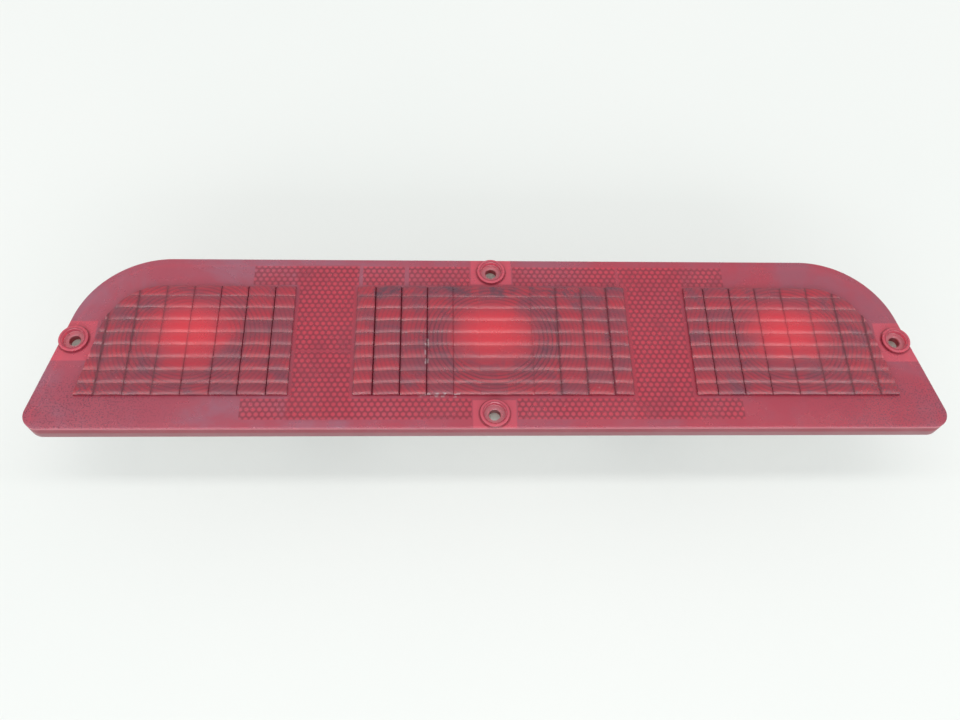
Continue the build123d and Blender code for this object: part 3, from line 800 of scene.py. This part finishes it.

    # counterbores: floor painted light pink (painted light), crimson wall, and painted shade in dark rings at the
    # boss's foot and round the counterbore's lip
    for bx, by in BOSSES:
        dx, dy = math_node(nt, "SUBTRACT", x, bx * MM), math_node(nt, "SUBTRACT", y, by * MM)
        d = math_node(nt, "SQRT", math_node(nt, "ADD", math_node(nt, "MULTIPLY", dx, dx), math_node(nt, "MULTIPLY", dy, dy)))
        inside = math_node(nt, "MULTIPLY", smooth_range(nt, d, 0.00455, 0.0046, 1.0, 0.0), smooth_range(nt, z, (Z_FACE - 0.85) * MM, (Z_FACE - 0.75) * MM, 1.0, 0.0))
        wall = math_node(nt, "MULTIPLY", smooth_range(nt, d, 0.00455, 0.0046, 1.0, 0.0), smooth_range(nt, z, (Z_FACE - 0.80) * MM, (Z_FACE - 0.70) * MM))
        col = mix_color(nt, wall, col, (0.80, 0.13, 0.20))
        foot = math_node(nt, "MULTIPLY", smooth_range(nt, d, 0.0058, 0.0061), smooth_range(nt, d, 0.0064, 0.0069, 1.0, 0.0))
        lip = math_node(nt, "MULTIPLY", smooth_range(nt, d, 0.0045, 0.0047), smooth_range(nt, d, 0.0049, 0.0052, 1.0, 0.0))
        # painted shade: dark rings at the boss's foot and at the counterbore's lip
        col = mix_color(nt, math_node(nt, "MULTIPLY", math_node(nt, "MAXIMUM", foot, lip), 0.6), col, (0.30, 0.03, 0.06))
        # painted light: lighter pink counterbore floor
        col = mix_color(nt, inside, col, (1.0, 0.50, 0.54))

    # dirt in the grooves, partly painted shade: grooves, ring flanks and prism outlines darker, less so in the painted
    # light spots
    at = nt.nodes.new("ShaderNodeAttribute")
    at.attribute_name = "dirt_and_shade"
    keep = math_node(nt, "MULTIPLY_ADD", painted_light_spot, -0.45, 1.0)
    grit = math_node(nt, "MULTIPLY_ADD", mid, 0.25, 0.72)
    col = mix_color(nt, math_node(nt, "MULTIPLY", math_node(nt, "MULTIPLY", at.outputs["Fac"], keep), grit), col, (0.15, 0.028, 0.048))
    # a painted highlight along the face's rounded edge, a darker crimson line below it, and the lower skirt painted a
    # darker grey-pink
    col = mix_color(nt, smooth_range(nt, z, (Z_FACE - 0.45) * MM, (Z_FACE - 0.1) * MM, 0.75, 0.0), col, (0.78, 0.20, 0.27))
    col = mix_color(nt, smooth_range(nt, z, (Z_FACE - 1.9) * MM, (Z_FACE - 1.3) * MM, 0.9, 0.0), col, (0.34, 0.028, 0.06))
    col = mix_color(nt, smooth_range(nt, z, (Z_FACE - 5.6) * MM, (Z_FACE - 4.2) * MM, 0.9, 0.0), col, (0.40, 0.16, 0.19))
    nt.links.new(col, b.inputs["Base Color"])

    r = smooth_range(nt, noise(nt, vec, 60.0, 4.0), 0.3, 0.75, 0.20, 0.33)
    r = math_node(nt, "ADD", r, smooth_range(nt, z, (Z_FACE - 2.9) * MM, (Z_FACE - 0.2) * MM, 0.18, 0.0))
    nt.links.new(r, b.inputs["Roughness"])
    bump(nt, b, noise(nt, vec, 500.0, 2.0), 0.02, 0.00004)
    vol = nt.nodes.new("ShaderNodeVolumeAbsorption")
    vol.inputs["Color"].default_value = (0.998, 0.05, 0.14, 1.0)
    vol.inputs["Density"].default_value = 700.0
    nt.links.new(vol.outputs["Volume"], nt.nodes["Material Output"].inputs["Volume"])
    return m


def mat_plastic(name, color, rough=0.45, var=0.06, grain=900.0, bump_s=0.12, dust=0.0):
    m, nt, b = new_mat(name)
    vec = coords(nt)
    n = noise(nt, vec, 35.0, 5.0, 0.6)
    lo = tuple(c * (1 - var) for c in color)
    hi = tuple(min(1.0, c * (1 + var)) for c in color)
    col = ramp(nt, n, [(0.3, lo), (0.7, hi)])
    if dust:
        d = smooth_range(nt, noise(nt, vec, 90.0, 6.0, 0.7), 0.5, 0.75, 0.0, dust)
        col = mix_color(nt, d, col, (0.42, 0.39, 0.34))
    nt.links.new(col, b.inputs["Base Color"])
    nt.links.new(smooth_range(nt, n, 0.3, 0.7, rough - 0.06, rough + 0.08), b.inputs["Roughness"])
    bump(nt, b, noise(nt, vec, grain, 3.0), bump_s, 0.00006)
    return m


def mat_metal(name, color, rough=0.3, streak=(1, 1, 14)):
    m, nt, b = new_mat(name)
    b.inputs["Metallic"].default_value = 1.0
    n = noise(nt, coords(nt, streak), 260.0, 4.0, 0.6)
    t = noise(nt, coords(nt), 40.0, 4.0)
    base = ramp(nt, n, [(0.3, tuple(c * 0.86 for c in color)), (0.7, color)])
    nt.links.new(mix_color(nt, smooth_range(nt, t, 0.5, 0.75, 0.0, 0.45), base, tuple(c * 0.62 for c in color)), b.inputs["Base Color"])
    nt.links.new(smooth_range(nt, n, 0.3, 0.7, rough - 0.08, rough + 0.12), b.inputs["Roughness"])
    bump(nt, b, n, 0.10, 0.00003)
    return m


def mat_foam(name, lo=(0.022, 0.022, 0.024), hi=(0.05, 0.05, 0.053)):
    m, nt, b = new_mat(name)
    vec = coords(nt)
    v = nt.nodes.new("ShaderNodeTexVoronoi")
    v.inputs["Scale"].default_value = 1500.0
    nt.links.new(vec, v.inputs["Vector"])
    n = noise(nt, vec, 60.0, 4.0)
    nt.links.new(ramp(nt, n, [(0.3, lo), (0.7, hi)]), b.inputs["Base Color"])
    b.inputs["Roughness"].default_value = 0.9
    bump(nt, b, v.outputs["Distance"], 0.5, 0.00015)
    return m


def mat_glass(name):
    m, nt, b = new_mat(name)
    b.inputs["Transmission Weight"].default_value = 1.0
    b.inputs["IOR"].default_value = 1.5
    n = noise(nt, coords(nt), 120.0, 3.0)
    nt.links.new(ramp(nt, n, [(0.3, (0.97, 0.98, 0.98)), (0.7, (1.0, 1.0, 1.0))]), b.inputs["Base Color"])
    nt.links.new(smooth_range(nt, n, 0.3, 0.7, 0.0, 0.03), b.inputs["Roughness"])
    return m


def dress(prefixes, mat, smooth=None):
    for name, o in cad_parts.items():
        if any(name == p or name.startswith(p + "_") for p in prefixes):
            o.data.materials.clear()
            o.data.materials.append(mat)
            for p in o.data.polygons:
                p.material_index = 0


HOUSING = mat_plastic("housing_grey", (0.62, 0.62, 0.60), 0.5, 0.05, 700.0, 0.2, dust=0.25)
REFLECTOR = mat_plastic("reflector_white", (0.90, 0.90, 0.885), 0.30, 0.02, 500.0, 0.04)
SLEEVE = mat_plastic("nylon", (0.93, 0.92, 0.88), 0.4, 0.02)
HOLDER = mat_plastic("holder_ivory", (0.74, 0.71, 0.62), 0.42, 0.05, dust=0.1)
SEAL = mat_plastic("silicone_rust", (0.30, 0.09, 0.055), 0.6, 0.1)
BOARD = mat_plastic("phenolic", (0.32, 0.17, 0.08), 0.5, 0.12)
BRASS = mat_metal("brass_dull", (0.78, 0.62, 0.34), 0.32)
WIRE = mat_metal("wire_grey", (0.42, 0.42, 0.43), 0.35)
STEEL = mat_metal("spring_wire", (0.55, 0.55, 0.54), 0.3)
FOAM = mat_foam("foam_black")
FOAM_WHITE = mat_foam("foam_white", (0.66, 0.66, 0.64), (0.78, 0.78, 0.76))
GLASS = mat_glass("bulb_clear")

dress(["housing"], HOUSING)
dress(["reflector"], REFLECTOR)
dress(["screw_sleeves"], SLEEVE)
dress(["bulb_holder"], HOLDER)
dress(["holder_seal"], SEAL)
dress(["contact_plate"], BOARD)
dress(["socket_shell", "terminal_blades", "bulb_cap"], BRASS)
dress(["bulb_filament"], WIRE)
dress(["contact_spring"], STEEL)
dress(["lens_gasket"], FOAM_WHITE)
dress(["body_gasket"], FOAM)
dress(["bulb_glass"], GLASS)

def tube_path(name, pts, r, n=10):
    """Round wire along a list of points, closed at both ends."""
    verts, faces = [], []
    pts = [Vector(p) for p in pts]
    nrm = None
    for i, p in enumerate(pts):
        tan = (pts[min(i + 1, len(pts) - 1)] - pts[max(i - 1, 0)]).normalized()
        if nrm is None:
            nrm = tan.cross(Vector((0, 0, 1))).normalized()
        nrm = (nrm - tan * nrm.dot(tan)).normalized()
        bi = tan.cross(nrm)
        for k in range(n):
            a = 2 * math.pi * k / n
            verts.append(p + (nrm * math.cos(a) + bi * math.sin(a)) * r)
    for i in range(len(pts) - 1):
        for k in range(n):
            m = (k + 1) % n
            faces.append((i * n + k, i * n + m, (i + 1) * n + m, (i + 1) * n + k))
    faces.append(tuple(reversed(range(n))))
    faces.append(tuple(range((len(pts) - 1) * n, len(pts) * n)))
    o = make_obj(name, [tuple(v) for v in verts], faces, 0)
    fix_normals(o)
    o.data.materials.clear()
    for p in o.data.polygons:
        p.use_smooth = True
    return o


def make_spring(side):
    lo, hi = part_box("contact_spring_" + side)
    cx = STATIONS[side] * MM
    wire, coil, turns = 0.00025, 0.0030, 3.7
    z0, z1 = lo.z + wire, hi.z - wire
    n = 150
    pts = []
    for i in range(n + 1):
        f = i / n
        a = 2 * math.pi * turns * f
        # the end coils lie nearly flat
        w = min(max((f * turns - 0.55) / (turns - 1.1), 0.0), 1.0)
        h = z0 + (z1 - z0) * (0.06 * f + 0.94 * w)
        pts.append((cx + coil * math.cos(a), OPTIC_Y * MM + coil * math.sin(a), h))
    o = tube_path("spring_coil_" + side, pts, wire)
    o.data.materials.append(STEEL)
    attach(o, "holder_" + side)
    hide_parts("contact_spring_" + side)
    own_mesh(o)


for side in STATIONS:
    make_spring(side)

lens = make_lens()
lens.data.materials.clear()
for m in SOIL:
    bpy.data.materials.remove(m)
lens.data.materials.append(mat_lens())
for p in lens.data.polygons:
    p.material_index = 0
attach(lens, "lamp_body")
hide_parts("lens")
